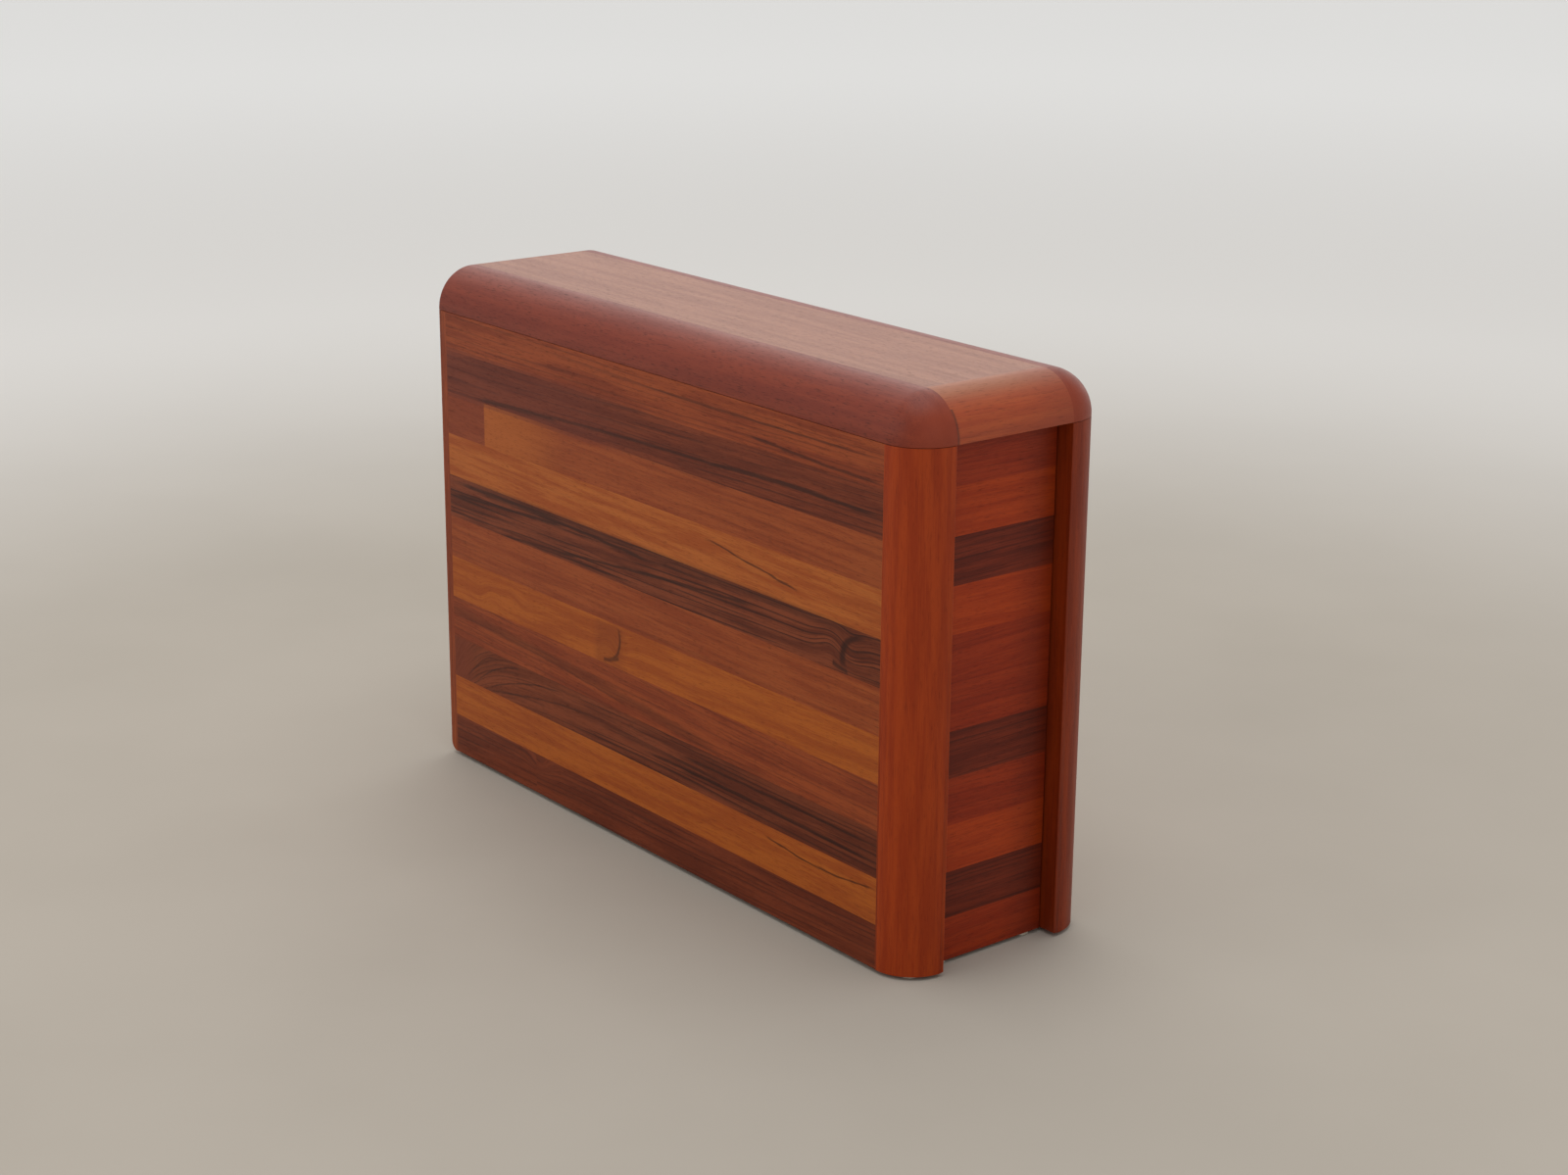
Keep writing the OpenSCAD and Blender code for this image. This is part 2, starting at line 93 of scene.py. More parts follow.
# %% Camera
EYE = Vector((1.7295, -1.3358, 0.8912))
HEADING, DOWN, ROLL = math.radians(51.45), math.radians(17.12), math.radians(0.44)
LENS, SENSOR = 62.85, 36.0
camera = bpy.data.objects.new("camera", bpy.data.cameras.new("camera"))
bpy.context.collection.objects.link(camera)
camera.data.lens, camera.data.sensor_width = LENS, SENSOR
camera.matrix_world = (
    Matrix.Translation(EYE)
    @ Matrix.Rotation(HEADING, 4, "Z")
    @ Matrix.Rotation(math.pi / 2 - DOWN, 4, "X")
    @ Matrix.Rotation(ROLL, 4, "Z")
)
bpy.context.scene.camera = camera
print("camera at", [round(c, 2) for c in EYE], "with a lens of", LENS, "mm")

# %% [markdown]
# ## Shader maths as plain sums
# A node tree for wood has many sums in it, and sums are easier to read as Python than as links.
# `Value` wraps one output socket. Adding or multiplying it makes the Math node and returns the
# new output, and the reflected forms let a plain number come first, as in `1 - mask`. `Graph`
# holds one material, and its `add` makes a node of any kind from its type, settings and inputs.


# %% A socket that can be used in sums
class Value:
    """One output of a node. Sums on it add Math nodes."""

    def __init__(self, graph, socket):
        self.graph = graph
        self.socket = socket

    def __add__(self, other):
        return self.graph.maths("ADD", self, other)

    def __sub__(self, other):
        return self.graph.maths("SUBTRACT", self, other)

    def __rsub__(self, other):
        return self.graph.maths("SUBTRACT", other, self)

    def __mul__(self, other):
        return self.graph.maths("MULTIPLY", self, other)

    def __truediv__(self, other):
        return self.graph.maths("DIVIDE", self, other)

    def __rtruediv__(self, other):
        return self.graph.maths("DIVIDE", other, self)

    __radd__ = __add__
    __rmul__ = __mul__


# %% A tree of nodes
class Graph:
    """The nodes of a material or of the world, and one way of adding to them."""

    def __init__(self, owner):
        owner.use_nodes = True
        self.owner = owner
        self.tree = owner.node_tree
        self.shader = self.tree.nodes.get("Principled BSDF") or self.tree.nodes["Background"]

    def put(self, socket, value):
        if isinstance(value, Value):
            self.tree.links.new(value.socket, socket)
        else:
            socket.default_value = value

    def add(self, kind, settings, inputs, output=0):
        node = self.tree.nodes.new(kind)
        for key, setting in settings.items():
            if key == "stops":
                fill_ramp(node.color_ramp, setting)
            else:
                setattr(node, key, setting)
        for key, value in inputs.items():
            self.put(node.inputs[key], value)
        return Value(self, node.outputs[output])

    def maths(self, operation, *values):
        return self.add("ShaderNodeMath", {"operation": operation}, dict(enumerate(values)))

    def finish(self, **sockets):
        for key, value in sockets.items():
            self.put(self.shader.inputs[key.replace("_", " ").title()], value)
        return self.owner


def new_material(name):
    return Graph(bpy.data.materials.new(name))


def fill_ramp(ramp, colours):
    """Equal steps of flat colour, one for each entry."""
    ramp.interpolation = "CONSTANT"
    for number, colour in enumerate(colours):
        stop = ramp.elements[0] if number == 0 else ramp.elements.new(number / len(colours))
        stop.position = number / len(colours)
        stop.color = colour
    if len(ramp.elements) > len(colours):
        ramp.elements.remove(ramp.elements[-1])


# %% [markdown]
# ## Small helpers for patterns
# Wood needs four things again and again: a noise that is stretched along the grain, a soft step
# from 0 to 1, a bell-shaped bump, and a mix of two colours. Paint is given as 0 to 255, as a
# colour picker shows it, and turned into the linear light that the shader works in.


# %% Helpers for patterns
def paint(red, green, blue):
    """A colour-picker colour as linear light."""
    return tuple((c / 255) ** 2.2 for c in (red, green, blue)) + (1.0,)


def noise(graph, x, y, z, detail=2.0):
    place = graph.add("ShaderNodeCombineXYZ", {}, {0: x, 1: y, 2: z})
    return graph.add("ShaderNodeTexNoise", {}, {"Vector": place, "Scale": 1.0, "Detail": detail})


def step(graph, value, start, end):
    """0 below start, 1 above end, and a soft change between. It falls if end is the smaller."""
    settings = {"interpolation_type": "SMOOTHSTEP"}
    return graph.add("ShaderNodeMapRange", settings, {0: value, 1: start, 2: end})


def bell(graph, distance_squared):
    return graph.maths("EXPONENT", distance_squared * -1)


def size_of(graph, value):
    return graph.maths("ABSOLUTE", value)


def mix(graph, factor, first, second):
    settings = {"data_type": "RGBA"}
    return graph.add("ShaderNodeMix", settings, {0: factor, 6: first, 7: second}, output=2)


def split(graph, vector):
    return [graph.add("ShaderNodeSeparateXYZ", {}, {0: vector}, output=axis) for axis in range(3)]


print("shader helpers ready")

# %% [markdown]
# ## The tones of teak
# Oiled teak runs from honey to near black, even in one tree. A maker who glues up a board lays
# light and dark staves side by side on purpose. Each tone here is a pair: the wood itself, and the
# darker bands in it. Two numbers say how strongly its near-black rings and its pores show.

# %% Tones
Tone = namedtuple("Tone", "wood bands rings pores")
TONES = {
    "honey": Tone(paint(172, 90, 32), paint(154, 74, 27), 0.08, 0.30),
    "amber": Tone(paint(176, 96, 42), paint(156, 76, 31), 0.12, 0.30),
    "russet": Tone(paint(154, 76, 37), paint(136, 62, 30), 0.22, 0.40),
    "chestnut": Tone(paint(150, 71, 35), paint(128, 56, 29), 0.42, 0.40),
    "umber": Tone(paint(122, 56, 31), paint(100, 43, 23), 0.62, 0.40),
    "smoked": Tone(paint(126, 62, 36), paint(94, 42, 23), 1.00, 0.40),
    "ember": Tone(paint(160, 62, 20), paint(145, 52, 16), 0.06, 0.22),
    "flame": Tone(paint(166, 74, 33), paint(154, 63, 28), 0.10, 0.35),
    "cinder": Tone(paint(136, 52, 20), paint(118, 43, 17), 0.08, 0.24),
    "mahogany": Tone(paint(126, 51, 29), paint(116, 44, 25), 0.06, 0.65),
    "tan": Tone(paint(142, 79, 40), paint(130, 69, 36), 0.08, 0.60),
    "copper": Tone(paint(168, 62, 20), paint(152, 52, 16), 0.12, 0.35),
    "garnet": Tone(paint(150, 52, 20), paint(134, 43, 17), 0.22, 0.35),
    "bark": Tone(paint(116, 44, 24), paint(94, 34, 19), 0.60, 0.35),
}
LINE, PORE, END_GRAIN = paint(44, 20, 13), paint(58, 24, 12), paint(142, 58, 33)
BEECH, BEECH_BAND, BEECH_FLECK = paint(214, 176, 132), paint(190, 148, 104), paint(150, 104, 66)
print(len(TONES), "tones of teak")

# %% [markdown]
# ## How the grain is drawn
# Wood is a bundle of fibres, so its pattern is solid: it has a value at every point of the block,
# and a cut face only shows it. Four layers do the work, all stretched along the fibres: soft
# patches of lighter and darker wood, growth rings, the texture of the fibres, and short open
# pores. All read the same coordinate across the grain. Bending that coordinate bends the whole
# figure at once, as a knot does in a real tree, so knots and arches are made that way and not
# painted on top.
#
# A ring is a contour line. The coordinate across the grain is divided by the ring's width and only
# the part after the decimal point is kept, which climbs slowly and drops at once. That is also how
# a ring looks: it darkens towards late summer and then ends in a sharp line.

# %% The layers of the figure, in millimetres
AXES = {"x": 0, "y": 1, "z": 2}
PATCH = (110.0, 7.0)
RING_WIDTH, RING_WANDER, RING_WANDER_SIZE = 4.7, 11.0, (420.0, 11.0)
RING_CLIMB, RING_DROP = (0.50, 0.88), (1.0, 0.94)
RING_GAPS, RING_GAP_SIZE, RING_GAP_SEED = (0.36, 0.54), (150.0, 5.0), 71.0
FIBRE = (26.0, 0.8)
PORE_SIZE = (8.0, 0.55)
WANDER, WANDER_SIZE = 7.0, (330.0, 30.0)
SWAY, SWAY_SIZE = 5.0, (26.0, 14.0)
FRAY, FRAY_SIZE, FRAY_SQUEEZE = 2.0, (18.0, 18.0), 13.0


def layer(graph, along, across, deep, size, detail=2):
    """Noise whose cells are as long and as wide as the size says."""
    length, width = size
    return noise(graph, along / length, across / width, deep / width, detail)


def places(graph, run, rise):
    """Millimetres along the fibres, across the face and into the wood, and the normal's run."""
    spot = graph.add("ShaderNodeTexCoord", {}, {}, output="Object")
    scaled = {0: spot, "Scale": 1 / MM}
    in_mm = graph.add("ShaderNodeVectorMath", {"operation": "SCALE"}, scaled)
    xyz = split(graph, in_mm)
    normal = split(graph, graph.add("ShaderNodeTexCoord", {}, {}, output="Normal"))
    deep = ({"x", "y", "z"} - {run, rise}).pop()
    return xyz[AXES[run]], xyz[AXES[rise]], xyz[AXES[deep]], size_of(graph, normal[AXES[run]])


def rings(graph, along, grain, own):
    """Dark late wood: 0 in most of a ring, rising to 1 at its edge, missing in places."""
    warp = layer(graph, along, grain, own, RING_WANDER_SIZE, 1) * RING_WANDER
    part = graph.maths("FRACT", (grain + warp) / RING_WIDTH)
    late = step(graph, part, *RING_CLIMB) * step(graph, part, *RING_DROP)
    present = layer(graph, along, grain, own + RING_GAP_SEED, RING_GAP_SIZE)
    return late * step(graph, present, *RING_GAPS)


# %% [markdown]
# ## One wood function
# `teak` turns a figure into a finished surface. `staves` lists the tones of a glued-up board from
# the bottom up: the height above the board's lower edge gives the stave's number, the number picks
# the tone from a ramp, and it also shifts the figure, so that no line crosses a glue joint. A
# second ramp carries three numbers in its red, green and blue: the strength of rings and of pores,
# and how far the figure climbs in 100 mm. `bends`, `marks`, the tints and `butts` are the knots,
# the dark lines, the spots of colour and the butt joints of one board. On the grip end and the end
# rail the tints also paint light and shade: a painted sheen, painted shade and painted shadow lines.
# Fibres cut across drink more oil, so the colour turns redder where the surface faces along them.


# %% Wood
STAVE_SHIFT, BUTT_SHIFT, CLIMB_RANGE = 83.0, 37.0, 20.0
BAND_RANGE, PORE_RANGE, CUT_RANGE, CUT_SHARE = (0.6, 0.9), (0.58, 0.70), (0.25, 0.95), 0.7
OIL_ROUGH, PIT_ROUGH, PATCH_ROUGH = 0.40, 0.12, 0.10
PIT_DEEP, RING_DEEP, RELIEF, RELIEF_MM = 0.7, 0.3, 0.25, 0.15
UNLIMITED = 1e4


def stave_number(graph, height, first, count):
    """0 for the trimmed first stave, then one more for each full stave."""
    number = graph.maths("FLOOR", (height - first) / STAVE) + 1
    limits = {"Value": number, "Min": 0.0, "Max": count - 1.0}
    return graph.add("ShaderNodeClamp", {}, limits)


def by_stave(graph, number, colours):
    place = (number + 0.5) / len(colours)
    return graph.add("ShaderNodeValToRGB", {"stops": colours}, {0: place})


def teak(name, run, rise, staves, seed, first=UNLIMITED, bottom=0.0, bends=(), marks=(),
         tints_and_painted_light=(), butts=(), gloss=0.2):
    """Material whose fibres run along one axis and whose staves rise along another."""
    graph = new_material(name)
    along, across, deep, facing = places(graph, run, rise)
    height = across - bottom / MM
    number = stave_number(graph, height, first, len(staves))
    light = by_stave(graph, number, [TONES[tone].wood for tone, _ in staves])
    dark = by_stave(graph, number, [TONES[tone].bands for tone, _ in staves])
    traits = [
        (TONES[tone].rings, TONES[tone].pores, 0.5 + climb / CLIMB_RANGE, 1)
        for tone, climb in staves
    ]
    trait = by_stave(graph, number, traits)
    ringed, pored, climbs = (
        graph.add("ShaderNodeSeparateColor", {}, {0: trait}, channel) for channel in range(3)
    )
    own = deep + number * STAVE_SHIFT + seed
    for stave, cut in butts:
        own = own + step(graph, along, cut, cut + 0.1) * same(graph, number, stave) * BUTT_SHIFT
    bent = across
    for bend in bends:
        bent = bent + bend(graph, along, height)
    sway = layer(graph, along, height, seed, SWAY_SIZE) - 0.5
    fray = layer(graph, along, height * FRAY_SQUEEZE, seed, FRAY_SIZE) - 0.5
    swayed, frayed = along + sway * SWAY, height + sway * (SWAY / 3) + fray * FRAY
    marked = 0.0
    for mark in marks:
        marked = larger(graph, marked, mark(graph, swayed, frayed))
    wander = layer(graph, along, across, own, WANDER_SIZE)
    grain = bent + (climbs - 0.5) * along * (-CLIMB_RANGE / 100) + (wander - 0.5) * WANDER
    patches = layer(graph, along, grain, own, PATCH, 3)
    fibres = layer(graph, along, grain, own, FIBRE)
    pores = layer(graph, along, grain, own, PORE_SIZE, 1)
    colour = mix(graph, step(graph, patches + fibres * 0.5, *BAND_RANGE), light, dark)
    late = rings(graph, along, grain, own) * ringed * (1 - fibres * 0.5)
    colour = mix(graph, late, colour, LINE)
    for shape, tint in tints_and_painted_light:
        colour = mix(graph, shape(graph, along, height), colour, tint)
    pits = step(graph, pores, *PORE_RANGE)
    colour = mix(graph, marked * (1 - fibres * 0.4), colour, LINE)
    colour = mix(graph, pits * pored, colour, PORE)
    colour = mix(graph, step(graph, facing, *CUT_RANGE) * CUT_SHARE, colour, END_GRAIN)
    graph.shader.inputs["Specular IOR Level"].default_value = gloss
    return graph.finish(
        base_color=colour,
        roughness=OIL_ROUGH + pits * PIT_ROUGH + patches * PATCH_ROUGH,
        normal=relief(graph, 1 - pits * PIT_DEEP - late * RING_DEEP, RELIEF, RELIEF_MM),
    )


def same(graph, number, wanted):
    return graph.maths("COMPARE", number, wanted, 0.1)


def larger(graph, first, second):
    return graph.maths("MAXIMUM", first, second)


def relief(graph, height, strength, depth):
    """Bump of the given depth in millimetres."""
    inputs = {"Height": height, "Strength": strength, "Distance": depth * MM}
    return graph.add("ShaderNodeBump", {}, inputs)


# %% [markdown]
# ## Knots, arches and streaks
# A few small shapes give a board its character. A swelling pushes the figure aside around one
# spot, as a knot does, and a hook lifts it on one side and drops it on the other. An arch bends it
# along a curve that dies away, which is how a flat-sawn board starts. A streak is one dark mineral
# line with its own bow, width and ends, and a crescent is the dark bark edge of a knot. A blush is
# a spot of another colour, and a drift is a slow change from one colour to another. Each is a
# function that returns a function, so a board can simply list the ones that it has.


# %% Shapes in the figure
def swelling(x, z, reach_x, reach_z, lift):
    """The figure is pushed up by lift around one spot."""

    def shape(graph, along, height):
        right, up = (along - x) / reach_x, (height - z) / reach_z
        return bell(graph, right * right + up * up) * lift

    return shape


def arch(x, reach, low, high, lift):
    """The figure climbs by lift, quickly after x and then ever slower, between two heights."""

    def shape(graph, along, height):
        inside = step(graph, height, low - 0.1, low) * step(graph, height, high + 0.1, high)
        return bell(graph, (along - x) / reach) * inside * -lift

    return shape


def hook(x, z, reach_x, reach_z, lift):
    """A swelling that lifts the figure on one side of the spot and drops it on the other."""
    plain = swelling(x, z, reach_x, reach_z, lift)

    def shape(graph, along, height):
        return plain(graph, along, height) * ((along - x) / reach_x)

    return shape


def streak(x0, z0, x1, z1, bow, width, strength):
    """A dark line between two places, bowed upward, that thins out at both ends."""

    def shape(graph, along, height):
        share = (along - x0) / (x1 - x0)
        line = share * (z1 - z0) + z0 + share * (1 - share) * (4 * bow)
        near = step(graph, size_of(graph, height - line), width, width * 0.25)
        ends = step(graph, share, 0.0, 0.12) * step(graph, share, 1.0, 0.88)
        return near * ends * strength

    return shape


def crescent(x, z, reach_x, reach_z, width, strength):
    """A dark bow round the right and lower side of a knot. A negative reach turns it over."""

    def shape(graph, along, height):
        right, up = (along - x) / reach_x, (height - z) / reach_z
        reach = graph.maths("SQRT", right * right + up * up)
        near = step(graph, size_of(graph, reach - 1), width, width * 0.2)
        lower_right = step(graph, right, -0.2, 0.5) * step(graph, up, 0.7, 0.1)
        return near * lower_right * strength

    return shape


def drift(low, high, strength, lengthwise=False):
    """A slow change of colour from one place to another, across the fibres or along them."""

    def shape(graph, along, height):
        return step(graph, along if lengthwise else height, low, high) * strength

    return shape


def blush(x0, x1, low, high, soft, strength):
    """A spot of colour from x0 to x1 that keeps between two heights, with soft ends."""

    def shape(graph, along, height):
        inside = step(graph, height, low - 0.1, low) * step(graph, height, high + 0.1, high)
        ends = step(graph, along, x0 - soft[0], x0) * step(graph, along, x1 + soft[1], x1)
        return inside * ends * strength

    return shape


print("wood functions ready")

# %% [markdown]
# ## The boards of this table
# The front door is the face that people see, so its staves and marks are chosen one by one. The
# heights are above the door's lower edge and the lengths are from the middle of the table, both in
# millimetres. The back door and the two ends use the same tones in another order.

# %% Staves, lowest first: the tone, and how far the figure climbs in 100 mm
FRONT_STAVES = [
    ("umber", 2.0), ("honey", -0.6), ("smoked", -0.8), ("chestnut", -2.4),
    ("honey", 2.4), ("russet", -0.6), ("smoked", 1.4), ("amber", -1.6),
    ("russet", -1.0), ("umber", 1.2), ("chestnut", -0.8),
]
REAR_STAVES = [
    ("russet", 1.0), ("umber", -1.4), ("honey", 0.8), ("chestnut", 1.6),
    ("smoked", -1.0), ("russet", 0.6), ("amber", -2.0), ("umber", 1.4),
    ("chestnut", -0.8), ("honey", 1.0), ("russet", 0.4),
]
RIGHT_STAVES = [
    ("garnet", 2.0), ("bark", -1.0), ("copper", 1.0), ("garnet", -2.0),
    ("bark", 1.5), ("garnet", -1.0), ("garnet", 2.0), ("copper", -1.0),
    ("bark", 2.0), ("copper", -1.5), ("garnet", 1.0),
]
LEFT_STAVES = [
    ("amber", -1.0), ("russet", 2.0), ("umber", -1.0), ("chestnut", 1.0),
    ("amber", -2.0), ("chestnut", 1.0), ("umber", 2.0), ("russet", -1.0),
    ("chestnut", 1.0), ("umber", -2.0), ("honey", 1.0),
]

# %% Marks on the front door
left = x_left / MM
FRONT_BENDS = [
    arch(left + 36, 40, 74.6, 112.4, -36),
    hook(left + 560, 246, 20, 15, 13),
    hook(left + 266, 170, 16, 13, 11),
    hook(left + 66, 166, 18, 13, -9),
    hook(left + 118, 172, 20, 10, 8),
    swelling(left + 150, 28, 18, 9, 9),
]
FRONT_MARKS = [
    streak(left + 60, 341, left + 190, 346, 1, 2.8, 0.75),
    streak(left + 150, 346, left + 420, 354, 1, 2.2, 0.7),
    streak(left + 380, 352, left + 607, 355, 3, 2.6, 0.95),
    streak(left + 440, 386, left + 607, 380, -1, 2.0, 0.8),
    streak(left + 300, 399, left + 607, 398, 0, 1.4, 0.6),
    streak(left + 391, 291.5, left + 512, 276.5, 0, 1.2, 0.9),
    streak(left + 12, 261.5, left + 607, 261, 0, 6, 0.5),
    streak(left + 12, 258, left + 330, 254, 2, 2.4, 0.95),
    streak(left + 12, 246, left + 200, 256, 0, 2.2, 0.9),
    streak(left + 160, 229, left + 470, 252, 2, 2.0, 0.9),
    streak(left + 90, 226, left + 250, 236, 0, 1.6, 0.7),
    crescent(left + 587, 240, -25, -18, 0.2, 0.95),
    crescent(left + 254, 175, 20, 20, 0.12, 0.8),
    streak(left + 248, 153, left + 273, 160, -1, 2.8, 0.75),
    streak(left + 550, 232, left + 570, 228, 0, 3.4, 0.85),
    streak(left - 20, 139, left + 420, 116, 3, 6.5, 0.42),
    streak(left + 12, 135, left + 300, 119, 3, 1.6, 0.6),
    streak(left + 33, 77, left + 85, 108, 8, 1.1, 0.6),
    streak(left + 47, 77, left + 122, 108, 7, 1.3, 0.7),
    streak(left + 66, 77, left + 188, 105, 6, 1.1, 0.7),
    streak(left + 80, 76, left + 253, 97, 5, 1.3, 0.6),
    streak(left + 465, 67, left + 607, 66, -6, 1.2, 0.95),
    streak(left + 300, 88, left + 607, 86, 2, 2.2, 0.9),
    streak(left + 350, 99, left + 607, 100, 1, 1.8, 0.8),
]
FRONT_TINTS = [
    (blush(left - 20, left + 70.5, 301.4, 339.2, (9, 0.4), 0.45), paint(120, 52, 34)),
    (blush(left + 72, left + 110, 301.4, 339.2, (1, 110), 0.6), paint(180, 98, 40)),
    (blush(left - 20, left + 30, 74.6, 112.4, (9, 22), 0.85), paint(118, 54, 32)),
    (blush(left + 60, left + 170, 74.6, 112.4, (40, 90), 0.3), paint(134, 64, 32)),
    (blush(left - 20, left + 200, 336, 380, (9, 120), 0.4), paint(108, 50, 38)),
    (blush(left + 500, left + 640, 74.6, 112.4, (180, 9), 0.3), paint(86, 38, 22)),
    (blush(left + 246, left + 270, 150, 186, (16, 16), 0.35), paint(120, 54, 26)),
]
print("the front door has", len(FRONT_MARKS), "streaks and", len(FRONT_BENDS), "bends")

# %% Wood for the boards
front_wood = teak(
    "teak_front_door", "x", "z", FRONT_STAVES, 11, DOOR_FIRST, z_floor, FRONT_BENDS, FRONT_MARKS,
    FRONT_TINTS, [(0, left + 143), (8, left + 71)],
)
rear_wood = teak("teak_rear_door", "x", "z", REAR_STAVES, 47, DOOR_FIRST, z_floor)
depth, right = -y_door / MM, x_right / MM
right_wood = teak(
    "teak_right_end", "y", "z", RIGHT_STAVES, 91, END_FIRST, z_floor, tints_and_painted_light=[
        # painted shade, deepening towards the rear post
        (drift(depth - 50, depth - 8, 0.35, True), paint(60, 22, 14)),
        # painted shadow under the overhang of the end rail, at the top of the panel
        (drift(402, 410, 0.3), paint(58, 20, 14)),
        # a painted shadow line right under the end rail
        (drift(409.2, 409.8, 0.75), LINE),
    ],
)
left_wood = teak("teak_left_end", "y", "z", LEFT_STAVES, 133, END_FIRST, z_floor)

# %% Wood for the single pieces
rail_wood = teak("teak_long_rails", "x", "y", [("mahogany", 0.4)], 170, gloss=0.3)
board_wood = teak("teak_top_board", "x", "y", [("tan", -0.6)], 210, gloss=0.5)
end_rail_wood = teak(
    "teak_end_rail", "y", "x", [("flame", 0.8)], 250, gloss=0.4, tints_and_painted_light=[
        # painted sheen: paler over the top of the rail, fading out down the round
        (drift(right - 6, right - 24, 0.75), paint(146, 86, 48)),
        (drift(0, depth, 0.55, True), paint(134, 58, 32)),
        # painted shade: a thin dark line low on the round at the front end, in the seam by the ball
        (blush(-depth, 1.2 - depth, right - 9, UNLIMITED, (0.5, 1.5), 0.6), LINE),
    ],
)
post_wood = teak("teak_front_post", "z", "x", [("ember", 0.2)], 290)
rear_post_wood = teak("teak_rear_post", "z", "x", [("cinder", -0.2)], 310)
stile_wood = teak("teak_stiles", "z", "x", [("chestnut", 0.2)], 330)
inner_wood = teak("teak_inner_boards", "x", "y", [("amber", 0.8)], 370)
upright_wood = teak("teak_uprights", "z", "y", [("russet", 0.6)], 410)
thread_wood = teak("teak_thread_board", "x", "z", [("russet", 0.8)], 450)
print(len([m for m in bpy.data.materials if m.name.startswith("teak")]), "teak materials")

# %% [markdown]
# ## Beech, brass, steel, plastic
# Dowels, pins and rods are beech, because it is plain, hard and cheap to turn. The hinges are
# rolled brass that has dulled, with fine scratches along the plate. The catch is a brown plastic
# box with a ferrite magnet, the strike is bright steel, and the glides are nylon.


# %% Beech and metals
def beech():
    graph = new_material("beech")
    along, across, deep, _ = places(graph, "x", "z")
    bands = layer(graph, along, across, deep, (60, 3))
    flecks = step(graph, layer(graph, along, across, deep, (5, 0.5)), *PORE_RANGE)
    colour = mix(graph, bands, BEECH, BEECH_BAND)
    colour = mix(graph, flecks * 0.3, colour, BEECH_FLECK)
    bumps = relief(graph, 1 - flecks, 0.2, 0.1)
    return graph.finish(base_color=colour, roughness=0.5 + flecks * 0.1, normal=bumps)


def metal(name, bright, dull, gloss, brushed):
    """Dulled metal with upright scratches as many millimetres long as brushed says."""
    graph = new_material(name)
    across, along, deep, _ = places(graph, "x", "z")
    cloud = noise(graph, across / 22, along / 40, deep / 22, 2)
    scratch = noise(graph, across / 0.12, along / brushed, deep / 0.12, 1)
    colour = mix(graph, step(graph, cloud, 0.35, 0.7), bright, dull)
    rough = gloss + cloud * 0.18 + scratch * 0.10
    bumps = relief(graph, scratch, 0.12, 0.03)
    return graph.finish(base_color=colour, metallic=1.0, roughness=rough, normal=bumps)


def moulded(name, tint, tired, gloss):
    graph = new_material(name)
    across, along, deep, _ = places(graph, "x", "z")
    cloud = noise(graph, across / 6, along / 6, deep / 6, 3)
    grit = noise(graph, across / 0.4, along / 0.4, deep / 0.4, 2)
    colour = mix(graph, step(graph, cloud, 0.4, 0.7), tint, tired)
    bumps = relief(graph, grit, 0.3, 0.05)
    return graph.finish(base_color=colour, roughness=gloss + grit * 0.2, normal=bumps)


beech_wood = beech()
brass = metal("dull_brass", paint(200, 164, 98), paint(176, 138, 78), 0.26, 9.0)
steel = metal("bright_steel", paint(196, 196, 194), paint(150, 150, 150), 0.22, 12.0)
ferrite = metal("ferrite", paint(92, 92, 94), paint(70, 70, 74), 0.45, 2.0)
brown_plastic = moulded("brown_plastic", paint(74, 50, 36), paint(58, 40, 30), 0.42)
nylon = moulded("nylon", paint(214, 208, 192), paint(188, 180, 160), 0.38)
print("other finishes:", beech_wood.name, brass.name, steel.name, nylon.name)

# %% [markdown]
# ## Meshes with eased edges
# A cabinetmaker runs fine paper along every edge that a hand can touch, and leaves the edges of a
# glue joint sharp. So each outer piece is built as a mesh here, and only the edges that lie open
# are bevelled. `open_edges` is a test on the two ends of an edge, and `on` says whether both lie
# in a plane, which keeps that choice readable. Flat faces stay flat in the light because the
# normals are weighted by area.


# %% From a mesh to a finished piece
SHARP = math.radians(35)
SIDES = ("front", "rear")


def close(a, b):
    return abs(a - b) < MM / 20


def on(a, b, **planes):
    """Whether both ends of an edge lie in every plane given, such as z=z_top."""
    return all(close(getattr(end, axis), at) for axis, at in planes.items() for end in (a, b))


def ease(mesh, open_edges, width, steps=3):
    """Bevels the edges whose two ends pass the test."""
    chosen = [edge for edge in mesh.edges if open_edges(*(v.co for v in edge.verts))]
    bmesh.ops.bevel(
        mesh, geom=chosen, offset=width, segments=steps, profile=0.5, affect="EDGES",
        clamp_overlap=True,
    )


def shown(name, mesh, material, body, slot, *stands_for):
    """Turns a bmesh into a piece that rides on a body and stands for CAD nodes."""
    bmesh.ops.remove_doubles(mesh, verts=mesh.verts, dist=MM / 100)
    bmesh.ops.recalc_face_normals(mesh, faces=mesh.faces)
    for face in mesh.faces:
        face.smooth = True
    for edge in mesh.edges:
        edge.smooth = len(edge.link_faces) == 2 and edge.calc_face_angle() < SHARP
    data = bpy.data.meshes.new(name)
    mesh.to_mesh(data)
    mesh.free()
    piece = bpy.data.objects.new(name, data)
    bpy.context.collection.objects.link(piece)
    data.materials.append(material)
    weighted = piece.modifiers.new("flat faces", "WEIGHTED_NORMAL")
    weighted.keep_sharp = True
    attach(piece, body)
    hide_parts(*stands_for)
    return piece


def block(mesh, low, high):
    """A box in the mesh, between two corners."""
    middle, size = (Vector(low) + Vector(high)) / 2, Vector(high) - Vector(low)
    place = Matrix.Translation(middle) @ Matrix.Diagonal((*size, 1))
    bmesh.ops.create_cube(mesh, size=1, matrix=place)


def mirrored(mesh, side):
    """The rear half of the table is the front half turned over the middle plane."""
    if side == "rear":
        bmesh.ops.scale(mesh, vec=(1, -1, 1), verts=mesh.verts)
        bmesh.ops.reverse_faces(mesh, faces=mesh.faces)


